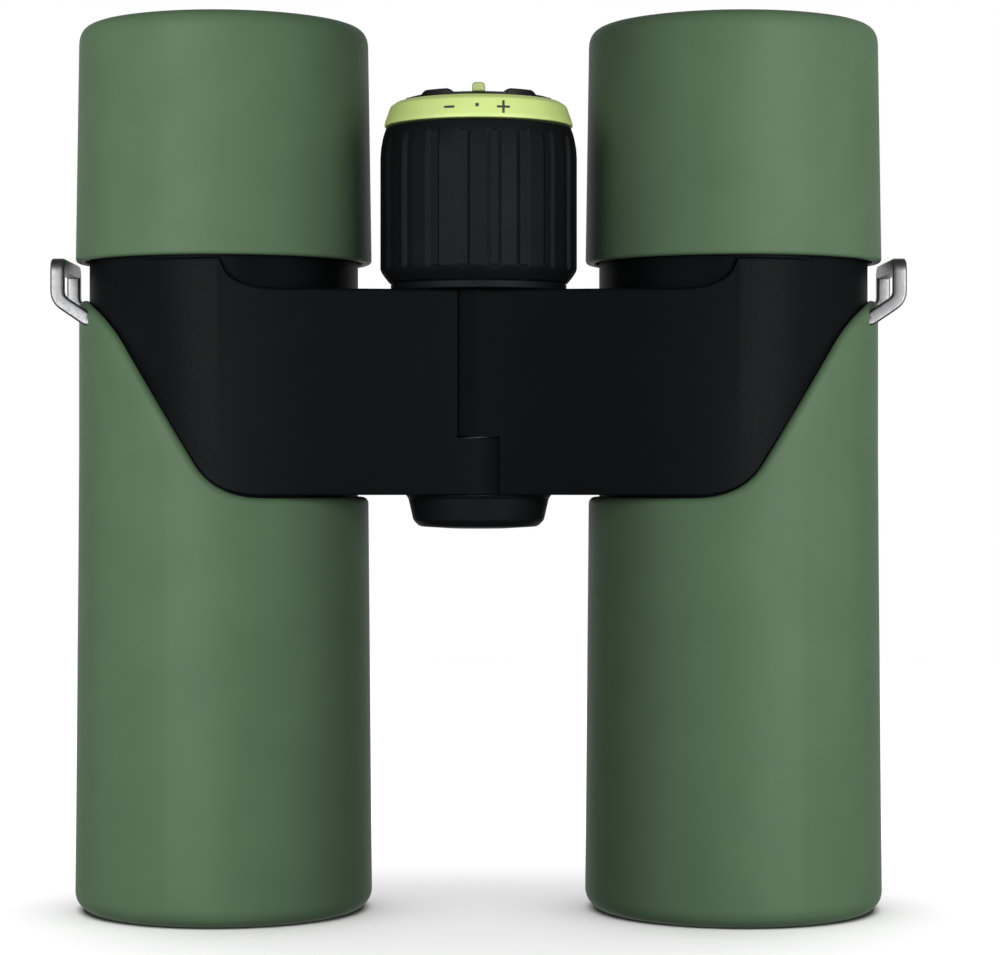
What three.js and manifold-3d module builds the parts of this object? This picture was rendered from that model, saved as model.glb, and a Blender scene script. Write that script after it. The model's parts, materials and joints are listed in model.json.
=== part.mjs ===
// Compact roof-prism binocular with a single centre hinge, centre focusing and a dioptre dial.
//
// Units are millimetres. The binocular stands on its two objective rims: +Z is up, towards the
// eyecups, +X is towards the right barrel and -Y is the side with the hinge and focusing wheel.
// The origin is on the floor, midway between the two barrel axes.

import * as THREE from 'three';
import { mergeVertices } from 'three/addons/utils/BufferGeometryUtils.js';
import Module from 'manifold-3d';

const wasm = await Module();
wasm.setup();

// ---------------------------------------------------------------------------------------------
// Driving dimensions
// ---------------------------------------------------------------------------------------------

const overallHeight = 119;            // floor to the top of the folded-down eyecups
const halfSpacing = 34.45;            // barrel axis from the middle plane, as set to the eyes
const hingeY = -6.9;                  // hinge axis, in front of the plane of the barrel axes
const gap = 0.3;                      // clearance between pieces that touch or slide

const fineSides = 32;                 // sides of a full circle on outer pieces
const coarseSides = 20;               // sides of a full circle on inner pieces

const armourTopRadius = 19.5;
const armourBottomRadius = 20;
const armourTop = 82.6;               // tip of the armour on the outer side of a barrel
const armourFillet = 2;
const armourLip = 1.2;                // thickness of the lip turned in under the barrel tube
const lipRadius = 16.6;
const tubeRadius = 17.4;              // barrel tube, under the armour
const tubeBore = 15.2;
const spigotRadius = 16.7;            // top of the barrel tube, glued into the bridge
const spigotTop = 60;
const objectiveBore = 16;
const objectiveShoulder = 14;         // height of the shoulder the objective is clamped against

const collarRadius = 18.1;            // bridge casting round the barrel
const bridgeBottom = 56;
const bridgeTop = 82.8;
const collarTop = 88.5;
const chamberRadius = 15.6;           // prism chamber inside the collar
const chamberTop = 84.5;
const shelfHoleRadius = 13.8;         // hole for the eyepiece above the prism chamber
const panelCrest = 19;                // front panel of the bridge stands this far in front
const seamHeight = 63.5;              // level where the two knuckles of the hinge meet
const seamOffset = 2.8;               // each arm stops this far short of the other's knuckle centre
const knuckleRadius = 9.2;

const hingeTubeRadius = 6.2;
const hingeTubeBore = 5;
const hingeTubeBottom = 52.6;
const hingeTubeTop = 88;
const hingeBushRadius = 7;

const wheelRadius = 13.1;
const wheelBottom = 84;
const wheelTop = 104.5;
const sleeveRadius = 9;               // sleeve the focusing wheel turns on
const dialRadius = 9.8;
const dialTop = 109;
const toothCount = 5;
const toothDepth = 0.6;
const ribCount = 20;

const focusTravel = 2.8;
const diopterTravel = 0.6;            // each way
const threadRadius = 2.5;             // bore of the parts on the focusing spindle
const fingerHeight = 1.4;
const fingerWidth = 2.4;
const leftFingerBottom = 57.7;
const rightFingerBottom = 66.7;

const eyecupBottom = 87.1;
const eyecupBottomRadius = 19.95;
const eyecupTopRadius = 19.45;
const eyecupBore = 18.7;

const armLength = Math.hypot(halfSpacing, hingeY);
const armAngle = Math.atan2(-hingeY, halfSpacing);

// ---------------------------------------------------------------------------------------------
// Materials
// ---------------------------------------------------------------------------------------------

const finishes = {
  armour: { color: 0x60765e, roughness: 0.62, metalness: 0 },
  body: { color: 0x1c1e20, roughness: 0.45, metalness: 0.1 },
  grip: { color: 0x1f2123, roughness: 0.6, metalness: 0 },
  scale: { color: 0xdceb96, roughness: 0.45, metalness: 0 },
  dial: { color: 0x18191b, roughness: 0.4, metalness: 0 },
  inner: { color: 0x131415, roughness: 0.8, metalness: 0 },
  steel: { color: 0xb9bcc0, roughness: 0.25, metalness: 1 },
  brass: { color: 0xb8964a, roughness: 0.35, metalness: 1 },
  seal: { color: 0x0e0e0e, roughness: 0.85, metalness: 0 },
  glass: { color: 0xcfe3dc, roughness: 0.03, metalness: 0, transparent: true, opacity: 0.35 },
};

function material(finish) {
  return new THREE.MeshStandardMaterial({ name: finish, ...finishes[finish] });
}

// ---------------------------------------------------------------------------------------------
// Solids
// ---------------------------------------------------------------------------------------------

/** Makes a solid, ready to be joined and cut, from any closed geometry. */
function solid(geometry) {
  const bare = geometry.clone();
  bare.deleteAttribute('normal');
  bare.deleteAttribute('uv');
  const merged = mergeVertices(bare, 1e-4);
  const points = merged.attributes.position.array;
  const corners = merged.index.array;
  const at = (i) => new THREE.Vector3(points[3 * i], points[3 * i + 1], points[3 * i + 2]);
  const triangles = [];
  let volume = 0;
  for (let t = 0; t < corners.length; t += 3) {
    const [a, b, c] = [corners[t], corners[t + 1], corners[t + 2]];
    if (a !== b && b !== c && c !== a) {
      triangles.push([a, b, c]);
      volume += at(a).dot(at(b).cross(at(c)));
    }
  }
  const facingOut = volume > 0 ? triangles : triangles.map(([a, b, c]) => [a, c, b]);
  return new wasm.Manifold(new wasm.Mesh({
    numProp: 3,
    vertProperties: new Float32Array(points),
    triVerts: new Uint32Array(facingOut.flat()),
  }));
}

/** Turns a solid back into a geometry. */
function geometryOf(body) {
  const mesh = body.getMesh();
  const geometry = new THREE.BufferGeometry();
  geometry.setAttribute('position', new THREE.BufferAttribute(new Float32Array(mesh.vertProperties), 3));
  geometry.setIndex(new THREE.BufferAttribute(new Uint32Array(mesh.triVerts), 1));
  geometry.computeVertexNormals();
  return geometry;
}

/** A body of revolution about +Z. The profile is a list of [radius, height] points. */
function turned(profile, sides = coarseSides) {
  const onAxis = profile[0][0] === 0 && profile[profile.length - 1][0] === 0;
  const loop = onAxis ? profile : [...profile, profile[0]];
  const points = loop.map(([radius, height]) => new THREE.Vector2(radius, height));
  return solid(new THREE.LatheGeometry(points, sides).rotateX(Math.PI / 2));
}

/** A plain ring or tube about +Z. */
function ring(innerRadius, outerRadius, bottom, top, sides = coarseSides) {
  return turned([
    [innerRadius, bottom],
    [outerRadius, bottom],
    [outerRadius, top],
    [innerRadius, top],
  ], sides);
}

/** A solid round bar about +Z. */
function disc(radius, bottom, top, sides = coarseSides) {
  return turned([
    [0, bottom],
    [radius, bottom],
    [radius, top],
    [0, top],
  ], sides);
}

/** A block given by its lowest and highest corners. */
function block([x0, y0, z0], [x1, y1, z1]) {
  const box = new THREE.BoxGeometry(x1 - x0, y1 - y0, z1 - z0);
  return solid(box.translate((x0 + x1) / 2, (y0 + y1) / 2, (z0 + z1) / 2));
}

/** A plan outline raised from one height to another. */
function raised(shape, bottom, top, curveSegments = 6) {
  const options = { depth: top - bottom, bevelEnabled: false, curveSegments };
  return solid(new THREE.ExtrudeGeometry(shape, options).translate(0, 0, bottom));
}

/** An outline drawn in the X-Z plane and carried along Y between two depths. */
function carriedAlongY(shape, nearY, farY, curveSegments = 6) {
  const options = { depth: farY - nearY, bevelEnabled: false, curveSegments };
  const upright = new THREE.ExtrudeGeometry(shape, options).rotateX(Math.PI / 2);
  return solid(upright.translate(0, farY, 0));
}

/** Points of a quarter-turn fillet, in [radius, height], from one angle to another in degrees. */
function arc([centreRadius, centreHeight], radius, from, to, steps) {
  return Array.from({ length: steps + 1 }, (_, i) => {
    const angle = THREE.MathUtils.degToRad(from + ((to - from) * i) / steps);
    return [centreRadius + radius * Math.cos(angle), centreHeight + radius * Math.sin(angle)];
  });
}

/**
 * Half-pieces are drawn for the left barrel, about its own axis, with +X towards the hinge.
 * The right-hand piece is the mirror image.
 */
function forSide(side, body) {
  return side === 'left' ? body : body.mirror([1, 0, 0]);
}

/** Turns a half-piece drawn along +X so that it points from the barrel axis to the hinge axis. */
function towardsHinge(body) {
  return body.rotate([0, 0, -THREE.MathUtils.radToDeg(armAngle)]);
}

// ---------------------------------------------------------------------------------------------
// Outlines shared by the armour and the bridge
// ---------------------------------------------------------------------------------------------

/**
 * The part of the armour that is cut away for the bridge, seen from the front of the left
 * barrel: level under the bridge, then a slanting edge that climbs to the outer side.
 */
function armourCutOutline(inset) {
  const level = bridgeBottom - 0.4 + inset;
  const innerEdge = armLength + knuckleRadius + 1;
  const shape = new THREE.Shape();
  shape.moveTo(innerEdge, level);
  shape.lineTo(7 - inset, level);
  shape.quadraticCurveTo(0.5 - inset, level, -2.4 + inset * 0.6, 60 + inset * 0.5);
  shape.lineTo(-12.5 + inset, 75.4 + inset * 0.5);
  shape.quadraticCurveTo(-15.5 + inset, 80 + inset * 0.5, -20.4, armourTop);
  shape.lineTo(-20.4, overallHeight);
  shape.lineTo(innerEdge, overallHeight);
  shape.closePath();
  return shape;
}

/**
 * The bridge seen from the front: its top edge is level between the barrels, and climbs in a
 * curve beside each barrel to a full-height panel just below the eyecup.
 */
function panelOutline() {
  const panelTop = eyecupBottom - gap;
  const shape = new THREE.Shape();
  shape.moveTo(-21, bridgeBottom);
  shape.lineTo(armLength + knuckleRadius, bridgeBottom);
  shape.lineTo(armLength + knuckleRadius, bridgeTop);
  shape.lineTo(9, bridgeTop);
  shape.quadraticCurveTo(1.6, bridgeTop, 1, panelTop);
  shape.lineTo(-21, panelTop);
  shape.closePath();
  return shape;
}

/** The bridge arm in plan, from the outer front of the barrel to the hinge. */
function armPlan(reach) {
  const outerAngle = THREE.MathUtils.degToRad(32);
  const start = [-collarRadius * Math.sin(outerAngle), -collarRadius * Math.cos(outerAngle)];
  const shape = new THREE.Shape();
  shape.moveTo(start[0], start[1]);
  shape.bezierCurveTo(-6, -panelCrest + 1.1, -2, -panelCrest, 3, -panelCrest);
  const armFront = hingeY - knuckleRadius;
  shape.bezierCurveTo(14, -panelCrest, 22, armFront - gap, halfSpacing - reach, armFront);
  shape.lineTo(halfSpacing - reach, hingeY + 1);
  shape.lineTo(halfSpacing - knuckleRadius * 0.8, hingeY + knuckleRadius * 0.58);
  shape.lineTo(chamberRadius + 1, 6);
  shape.lineTo(0, 6);
  shape.lineTo(-9, -8);
  shape.closePath();
  return shape;
}

// ---------------------------------------------------------------------------------------------
// Barrel halves
// ---------------------------------------------------------------------------------------------

/** Thick rubber sleeve with a turned-in lip at the foot and a slanting cut-out for the bridge. */
function armour(lugClearance) {
  const sleeve = turned([
    [lipRadius, 0],
    ...arc([armourBottomRadius - armourFillet, armourFillet], armourFillet, -90, 0, 3),
    [armourTopRadius, 58],
    [armourTopRadius, armourTop],
    [collarRadius + 0.4, armourTop],
    [collarRadius + 0.4, bridgeBottom - armourLip],
    [tubeRadius + gap, bridgeBottom - armourLip],
    [tubeRadius + gap, armourLip],
    [lipRadius, armourLip],
  ], fineSides);
  const cut = carriedAlongY(armourCutOutline(0), -25, 25);
  return sleeve.subtract(cut).subtract(lugClearance);
}

/** Aluminium barrel tube: a seat for the objective below, and a spigot into the bridge above. */
function barrelTube() {
  const foot = armourLip + gap;
  const shoulder = bridgeBottom - 0.8;
  const tube = turned([
    [objectiveBore, foot],
    [tubeRadius, foot],
    [tubeRadius, shoulder],
    [spigotRadius, shoulder],
    [spigotRadius, spigotTop],
    [tubeBore, spigotTop],
    [tubeBore, objectiveShoulder],
    [objectiveBore, objectiveShoulder],
  ], fineSides);
  const slotHalfWidth = fingerWidth;
  const fingerSlot = block(
    [tubeBore - 5, -slotHalfWidth, leftFingerBottom - 1],
    [tubeRadius + 2, slotHalfWidth, spigotTop + 1],
  );
  return tube.subtract(towardsHinge(fingerSlot));
}

/** Room in the bridge for one focusing finger and its travel. */
function fingerChannel(fingerBottom, spare) {
  const bottom = fingerBottom - gap - spare;
  const top = fingerBottom + fingerHeight + focusTravel + gap + spare;
  const halfWidth = fingerWidth / 2 + 2 * gap;
  return towardsHinge(block([tubeBore - 1, -halfWidth, bottom], [armLength, halfWidth, top]));
}

/** Bridge casting: collar with the prism chamber, front panel, arm, and one hinge knuckle. */
function bridge(side, lugClearance) {
  const isLeft = side === 'left';
  const [ownBottom, ownTop] = isLeft
    ? [bridgeBottom, seamHeight - 0.2]
    : [seamHeight + 0.2, bridgeTop];
  const [otherBottom, otherTop] = isLeft ? [ownTop, eyecupBottom] : [bridgeBottom, ownBottom];
  const collar = ring(chamberRadius, collarRadius, bridgeBottom - 0.5, collarTop, fineSides);
  const spigotSeat = ring(tubeBore, spigotRadius + gap, bridgeBottom - 1, spigotTop + gap, fineSides);
  const shelf = ring(shelfHoleRadius, chamberRadius + 0.1, chamberTop, collarTop, fineSides);
  const chamber = disc(chamberRadius, bridgeBottom - 1, collarTop, fineSides);
  const atHinge = (body) => body.translate([halfSpacing, hingeY, 0]);

  const ownArm = raised(armPlan(0), ownBottom, isLeft ? ownTop : eyecupBottom);
  const otherArm = raised(armPlan(seamOffset), otherBottom, otherTop)
    .subtract(atHinge(disc(knuckleRadius + gap, otherBottom - 1, otherTop + 1, fineSides)));
  const outline = carriedAlongY(panelOutline(), -25, 25)
    .intersect(carriedAlongY(armourCutOutline(0.35), -25, 25));
  const arm = ownArm.add(otherArm).intersect(outline);
  const knuckle = atHinge(disc(knuckleRadius, ownBottom, ownTop, fineSides));
  const hingeBore = atHinge(disc((isLeft ? hingeBushRadius : hingeTubeRadius) + gap, bridgeBottom - 1, collarTop));
  const channel = isLeft
    ? fingerChannel(leftFingerBottom, 0)
    : fingerChannel(rightFingerBottom, diopterTravel);
  return arm.add(knuckle).subtract(chamber).add(collar).add(shelf)
    .subtract(spigotSeat).subtract(hingeBore).subtract(channel).subtract(lugClearance);
}

/** Steel loop for the strap: two bent legs that enter the body, joined by a bar along Y. */
function strapLoop(thickness) {
  const halfDepth = 8;
  const legX = -21.4;
  const barZ = 86.4;
  const corner = 1.2;
  const leg = (y, inner) => [
    new THREE.Vector3(-15.4, y, 79),
    new THREE.Vector3(-17.6, y, 79.4),
    new THREE.Vector3(-20.4, y, 81.3),
    new THREE.Vector3(legX, y, 82.9),
    new THREE.Vector3(legX, y, barZ - corner),
    new THREE.Vector3(legX, inner, barZ),
  ];
  const points = [
    ...leg(-halfDepth, -halfDepth + corner),
    ...leg(halfDepth, halfDepth - corner).reverse(),
  ];
  const rounded = new THREE.CatmullRomCurve3(points, false, 'catmullrom', 0.12);
  const section = new THREE.Shape();
  section.absarc(0, 0, thickness / 2, 0, 2 * Math.PI, false);
  return solid(new THREE.ExtrudeGeometry(section, {
    steps: 20,
    curveSegments: 4,
    extrudePath: rounded,
  }));
}

/** A lens with two spherical faces, thicker or thinner in the middle. */
function lens(radius, bottom, top, lowerBulge, upperBulge) {
  const steps = 2;
  const face = (height, bulge, direction) => Array.from({ length: steps + 1 }, (_, i) => {
    const share = direction > 0 ? i / steps : 1 - i / steps;
    return [radius * share, height + bulge * (1 - share * share)];
  });
  return turned([...face(bottom, -lowerBulge, 1), ...face(top, upperBulge, -1)]);
}

/** Carriage that slides in the tube with a focusing lens, and reaches the centre by a finger. */
function focusCarriage(fingerBottom) {
  const cell = ring(11.5, 14.6, 44, 50);
  const fingerTop = fingerBottom + fingerHeight;
  const post = block([12.2, -2, 46], [14.2, 2, fingerTop]);
  const tip = armLength - 3.7;
  const finger = block([12.2, -fingerWidth / 2, fingerBottom], [tip, fingerWidth / 2, fingerTop]);
  return cell.add(towardsHinge(post)).add(towardsHinge(finger));
}

/** Cage that carries the two prisms, open on four sides, with a slot for the focusing post. */
function prismCage() {
  const wall = ring(13.3, tubeBore, 62.6, 83.6);
  const floor = ring(7.5, 13.5, 62.6, 63.6);
  const window = block([-4.5, -20, 66], [4.5, 20, 80]);
  const postSlot = block([9, -2.6, 60], [20, 2.6, 74]);
  return wall.add(floor).subtract(window).subtract(towardsHinge(postSlot));
}

/** A prism block with a slanting face, drawn in the X-Z plane. */
function prism(corners) {
  const shape = new THREE.Shape(corners.map(([x, z]) => new THREE.Vector2(x, z)));
  return carriedAlongY(shape, -7.4, 7.4);
}

/** Half-penta prism under the air gap. */
function lowerPrism() {
  return prism([[-8.2, 64.1], [8.2, 64.1], [8.2, 67], [-2, 73.4], [-8.2, 73.4]]);
}

/** Roof prism over the air gap. */
function upperPrism() {
  return prism([[8.2, 67.7], [8.2, 81.2], [-8.2, 81.2], [-8.2, 74.1], [-2, 74.1]]);
}

/** Spring ring that holds the prisms down in the cage. */
function prismClip() {
  return ring(8.4, 12.9, 81.6, 82.4);
}

/** Eyepiece tube: screwed through the shelf of the bridge, with a wide guide for the eyecup. */
function eyepieceTube() {
  return turned([
    [11.3, 85],
    [13.5, 85],
    [13.5, collarTop + gap],
    [17, collarTop + gap],
    [17, 104],
    [11.3, 104],
  ]);
}

/** Sleeve that rides up the eyepiece guide as the eyecup is twisted. */
function eyecupCarrier() {
  return ring(17.3, 18.35, 90, 104.5);
}

/** Twist-up eyecup: a tapered shell with a rounded rim and a funnel inside. */
function eyecup() {
  const fillet = 2.65;
  const rimInner = 14.4;
  return turned([
    [eyecupBore, eyecupBottom],
    [eyecupBottomRadius - 0.5, eyecupBottom],
    [eyecupBottomRadius, eyecupBottom + 0.6],
    ...arc([eyecupTopRadius - fillet, overallHeight - fillet], fillet, 0, 90, 3),
    [rimInner, overallHeight],
    [12.4, 108.4],
    [13.6, 108],
    [15, overallHeight - fillet],
    [eyecupBore, overallHeight - fillet],
  ], fineSides);
}

function objectiveRing() {
  return turned([
    [14.2, 6.6],
    [15.7, 5.2],
    [15.7, 8],
    [14.9, 8],
  ]);
}

// ---------------------------------------------------------------------------------------------
// Hinge and focusing drive
// ---------------------------------------------------------------------------------------------

/** Hinge tube with a wide window for the swinging left finger and a narrow one for the right. */
function hingeTube() {
  const tube = ring(hingeTubeBore, hingeTubeRadius, hingeTubeBottom, hingeTubeTop);
  const windowPlan = (from, to) => {
    const [start, end] = [from, to].map(THREE.MathUtils.degToRad);
    const reach = hingeTubeRadius + 2;
    const shape = new THREE.Shape();
    shape.moveTo(0, 0);
    shape.lineTo(reach * Math.cos(start), reach * Math.sin(start));
    shape.absarc(0, 0, reach, start, end, false);
    shape.closePath();
    return shape;
  };
  const leftWindow = raised(
    windowPlan(96, 207),
    leftFingerBottom - gap,
    leftFingerBottom + fingerHeight + focusTravel + gap,
  );
  const rightWindow = raised(
    windowPlan(-8, 31),
    rightFingerBottom - gap - diopterTravel,
    rightFingerBottom + fingerHeight + focusTravel + gap + diopterTravel,
  );
  return tube.subtract(leftWindow).subtract(rightWindow);
}

function hingeBush() {
  const bush = ring(hingeTubeRadius + gap, hingeBushRadius, bridgeBottom + 0.1, seamHeight - gap);
  const slotHalfWidth = fingerWidth / 2 + 2 * gap;
  const slotTop = leftFingerBottom + fingerHeight + focusTravel + gap;
  const slot = block([-10, -slotHalfWidth, leftFingerBottom - gap], [0, slotHalfWidth, slotTop]);
  return bush.subtract(slot.rotate([0, 0, -THREE.MathUtils.radToDeg(armAngle)]));
}

function springWasher() {
  return turned([
    [hingeTubeRadius + gap, 55],
    [8, 54.7],
    [8, 55.3],
    [hingeTubeRadius + gap, 55.6],
  ]);
}

/** Lock nut that sets the stiffness of the hinge, with four spanner slots. */
function lockNut() {
  const slots = [0, 90].map((angle) => block([-9, -0.7, 52], [9, 0.7, 53.4]).rotate([0, 0, angle]));
  return slots.reduce((body, slot) => body.subtract(slot), ring(hingeTubeRadius + gap, 7.8, 52.8, 54.4));
}

/** Domed cover under the hinge. */
function endCap() {
  return turned([
    [0, 51.5],
    [7.2, 51.7],
    [8.5, 52.4],
    [9.25, 55.7],
    [8.5, 55.7],
    [8.1, 52.4],
    [0, 52.2],
  ], fineSides);
}

/** Flanged collar on top of the hinge: the focusing wheel turns on its sleeve. */
function bearingCollar() {
  const flangeRadius = 11.5;
  const sleeveTop = 96;
  const sleeveBore = 7.6;
  const sleeveFloor = hingeTubeTop + 0.4;
  return turned([
    [hingeTubeRadius + gap, bridgeTop + gap],
    [flangeRadius, bridgeTop + gap],
    [flangeRadius, wheelBottom - gap],
    [sleeveRadius, wheelBottom - gap],
    [sleeveRadius, sleeveTop],
    [sleeveBore, sleeveTop],
    [sleeveBore, sleeveFloor],
    [hingeTubeRadius + gap, sleeveFloor],
  ]);
}

/** Hub of the focusing wheel: a cup that turns on the bearing collar. */
function wheelHub() {
  const floorBottom = 98.2;
  const floorTop = 99.8;
  const outerRadius = 11;
  const spindleHole = 2.9;
  const cup = turned([
    [spindleHole, floorBottom],
    [sleeveRadius + gap, floorBottom],
    [sleeveRadius + gap, wheelBottom],
    [outerRadius, wheelBottom],
    [outerRadius, wheelTop],
    [outerRadius - 1.1, wheelTop],
    [outerRadius - 1.1, floorTop],
    [spindleHole, floorTop],
  ]);
  return hubScrews(1.1, 1.1).reduce((body, hole) => body.subtract(hole), cup);
}

/** Fluted rubber sleeve of the focusing wheel, slightly barrel-shaped. */
function wheelGrip() {
  const bore = 11.3;
  const bottom = wheelBottom + gap;
  const grooveDepth = 0.45;
  const grooveHalfWidth = 0.28;
  const sleeve = turned([
    [bore, bottom],
    [bore + 0.6, bottom],
    [wheelRadius, wheelBottom + 2],
    [wheelRadius, wheelTop - 3.5],
    [wheelRadius - 0.8, wheelTop],
    [bore, wheelTop],
  ], 2 * ribCount);
  const groove = block(
    [wheelRadius - grooveDepth, -grooveHalfWidth, wheelBottom + 2],
    [wheelRadius + 1, grooveHalfWidth, wheelTop - 1],
  );
  return Array.from({ length: ribCount }, (_, i) => (360 / ribCount) * i)
    .reduce((body, angle) => body.subtract(groove.rotate([0, 0, angle])), sleeve);
}

/** Bright ring that carries the dioptre scale. */
function scaleRing() {
  const bore = dialRadius + 0.4;
  const bottomRadius = 12.55;
  const bottom = wheelTop + gap;
  const top = wheelTop + 3.5;
  return turned([
    [bore, bottom],
    [bottomRadius, bottom],
    [bottomRadius - 0.05, bottom + 0.4],
    [bottomRadius - 0.8, top - 0.7],
    [bottomRadius - 1.3, top - 0.2],
    [bottomRadius - 1.9, top],
    [bore, top],
  ], fineSides);
}

/** Castellated dioptre dial, sunk in the scale ring, with finger teeth round its edge. */
function diopterDial() {
  const floorBottom = 105.4;
  const floorTop = 107;
  const skirtBottom = 101.2;
  const shaftHole = 1.8;
  const cup = turned([
    [shaftHole, floorBottom],
    [7.9, floorBottom],
    [7.9, skirtBottom],
    [9.2, skirtBottom],
    [9.2, floorBottom],
    [dialRadius, floorBottom + 0.6],
    [dialRadius, dialTop],
    [8.2, dialTop],
    [7.4, floorTop],
    [shaftHole, floorTop],
  ]);
  const notchHalfWidth = 3.4;
  const notch = block(
    [6, -notchHalfWidth, dialTop - toothDepth],
    [12, notchHalfWidth, dialTop + 1],
  );
  return Array.from({ length: toothCount }, (_, i) => (360 / toothCount) * i - 90)
    .reduce((body, angle) => body.subtract(notch.rotate([0, 0, angle])), cup);
}

/** Bright round-topped peg laid across the rim of the dial, pointing at the scale. */
function diopterPointer() {
  const halfWidth = 0.85;
  const bottom = dialTop - toothDepth + gap;
  const top = bottom + 0.9;
  const shoulder = bottom + 0.3;
  const shape = new THREE.Shape();
  shape.moveTo(-halfWidth, bottom);
  shape.lineTo(halfWidth, bottom);
  shape.lineTo(halfWidth, shoulder);
  shape.quadraticCurveTo(halfWidth, top, 0, top);
  shape.quadraticCurveTo(-halfWidth, top, -halfWidth, shoulder);
  shape.closePath();
  return carriedAlongY(shape, -dialRadius - 0.6, -7.6);
}

/** Wavy ring that holds the dial where it is set. */
function detentSpring() {
  return ring(7.9, 9.2, 100.3, 100.9);
}

/** Shaft of the dial, down the middle of the focusing spindle. */
function diopterShaft() {
  return disc(1.2, 60, 105).add(disc(5, 104.2, 105.1));
}

/** Hollow threaded spindle, with a flange that is screwed under the floor of the hub. */
function focusSpindle() {
  const bore = 1.5;
  const radius = threadRadius - gap;
  const bottom = 58;
  const flangeRadius = 6.6;
  const flangeBottom = 96.4;
  const flangeTop = 97.8;
  const spindle = turned([
    [bore, bottom],
    [radius, bottom],
    [radius, flangeBottom],
    [flangeRadius, flangeBottom],
    [flangeRadius, flangeTop],
    [bore, flangeTop],
  ]);
  return hubScrews(1.1, 1.1).reduce((body, hole) => body.subtract(hole), spindle);
}

/** Three screws, or the holes for them, that join the hub to the flange of the spindle. */
function hubScrews(shankRadius, headRadius) {
  const screw = disc(shankRadius, 95.9, 100.3, 10).add(disc(headRadius, 100.1, 101, 10));
  const circleRadius = 4.9;
  const places = [30, 150, 270].map(THREE.MathUtils.degToRad);
  return places.map((angle) =>
    screw.translate([circleRadius * Math.cos(angle), circleRadius * Math.sin(angle), 0]));
}

/** A collar on the spindle, with a groove that holds the tip of a focusing finger. */
function groovedCollar(bottom, top, fingerBottom) {
  const outerRadius = 4.65;
  const grooveRadius = 3.35;
  const grooveBottom = fingerBottom - gap;
  const grooveTop = fingerBottom + fingerHeight + gap;
  return turned([
    [threadRadius, bottom],
    [outerRadius, bottom],
    [outerRadius, grooveBottom],
    [grooveRadius, grooveBottom],
    [grooveRadius, grooveTop],
    [outerRadius, grooveTop],
    [outerRadius, top],
    [threadRadius, top],
  ]);
}

/** Nut driven up and down by the spindle, which moves the left finger. */
function focusNut() {
  return groovedCollar(56.6, 63.6, leftFingerBottom);
}

/** Collar above the nut, shifted by the dioptre dial, which moves the right finger. */
function diopterCollar() {
  return groovedCollar(64.8, 69.6, rightFingerBottom);
}

// ---------------------------------------------------------------------------------------------
// Assembly
// ---------------------------------------------------------------------------------------------

const binocular = new THREE.Group();

function addPiece(group, name, finish, body) {
  const mesh = new THREE.Mesh(geometryOf(body), material(finish));
  mesh.name = name;
  group.add(mesh);
}

function addHalf(side) {
  const half = new THREE.Group();
  half.position.x = side === 'left' ? -halfSpacing : halfSpacing;
  const fingerBottom = side === 'left' ? leftFingerBottom : rightFingerBottom;
  const lugThickness = 1.9;
  const lugClearance = strapLoop(lugThickness + 2 * gap);
  const pieces = [
    ['armour', 'armour', armour(lugClearance)],
    ['bridge', 'body', bridge(side, lugClearance)],
    ['strap_lug', 'steel', strapLoop(lugThickness)],
    ['barrel_tube', 'body', barrelTube()],
    ['objective_ring', 'inner', objectiveRing()],
    ['objective_lens', 'glass', lens(15.3, 8.4, 11.4, 0.9, 0.4)],
    ['objective_seal', 'seal', ring(15.45, 15.75, 11.8, 13.6)],
    ['focus_carriage', 'inner', focusCarriage(fingerBottom)],
    ['focus_lens', 'glass', lens(11.2, 45, 48.6, -0.8, -0.6)],
    ['prism_cage', 'inner', prismCage()],
    ['lower_prism', 'glass', lowerPrism()],
    ['upper_prism', 'glass', upperPrism()],
    ['prism_clip', 'steel', prismClip()],
    ['eyepiece_tube', 'body', eyepieceTube()],
    ['field_lens', 'glass', lens(11, 88, 91, 0.7, 1)],
    ['eye_lens', 'glass', lens(11, 98, 101.4, 0.5, 0.9)],
    ['eyepiece_ring', 'inner', ring(9.8, 11, 102.8, 104)],
    ['eyecup_carrier', 'inner', eyecupCarrier()],
    ['eyecup', 'armour', eyecup()],
  ];
  for (const [name, finish, body] of pieces) {
    addPiece(half, `${side}_${name}`, finish, forSide(side, body));
  }
  binocular.add(half);
}

function addCentre() {
  const centre = new THREE.Group();
  centre.position.y = hingeY;
  addPiece(centre, 'hinge_tube', 'steel', hingeTube());
  addPiece(centre, 'hinge_bush', 'brass', hingeBush());
  addPiece(centre, 'spring_washer', 'steel', springWasher());
  addPiece(centre, 'lock_nut', 'steel', lockNut());
  addPiece(centre, 'end_cap', 'body', endCap());
  addPiece(centre, 'bearing_collar', 'body', bearingCollar());
  addPiece(centre, 'wheel_hub', 'body', wheelHub());
  addPiece(centre, 'wheel_grip', 'grip', wheelGrip());
  addPiece(centre, 'scale_ring', 'scale', scaleRing());
  addPiece(centre, 'focus_spindle', 'steel', focusSpindle());
  hubScrews(0.8, 1.5).forEach((screw, i) => addPiece(centre, `hub_screw_${i + 1}`, 'steel', screw));
  addPiece(centre, 'diopter_dial', 'dial', diopterDial());
  addPiece(centre, 'diopter_pointer', 'scale', diopterPointer());
  addPiece(centre, 'detent_spring', 'steel', detentSpring());
  addPiece(centre, 'diopter_shaft', 'steel', diopterShaft());
  addPiece(centre, 'focus_nut', 'brass', focusNut());
  addPiece(centre, 'diopter_collar', 'brass', diopterCollar());
  binocular.add(centre);
}

addHalf('left');
addHalf('right');
addCentre();

export default binocular;
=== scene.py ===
"""Looks of a compact roof-prism binocular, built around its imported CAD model.

Sizes are millimetres until a mesh is made, when they become metres. A barrel piece is drawn about
its own barrel's axis with +X towards the hinge, and the right-hand copy is its mirror image.
"""

import json
import math

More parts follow.
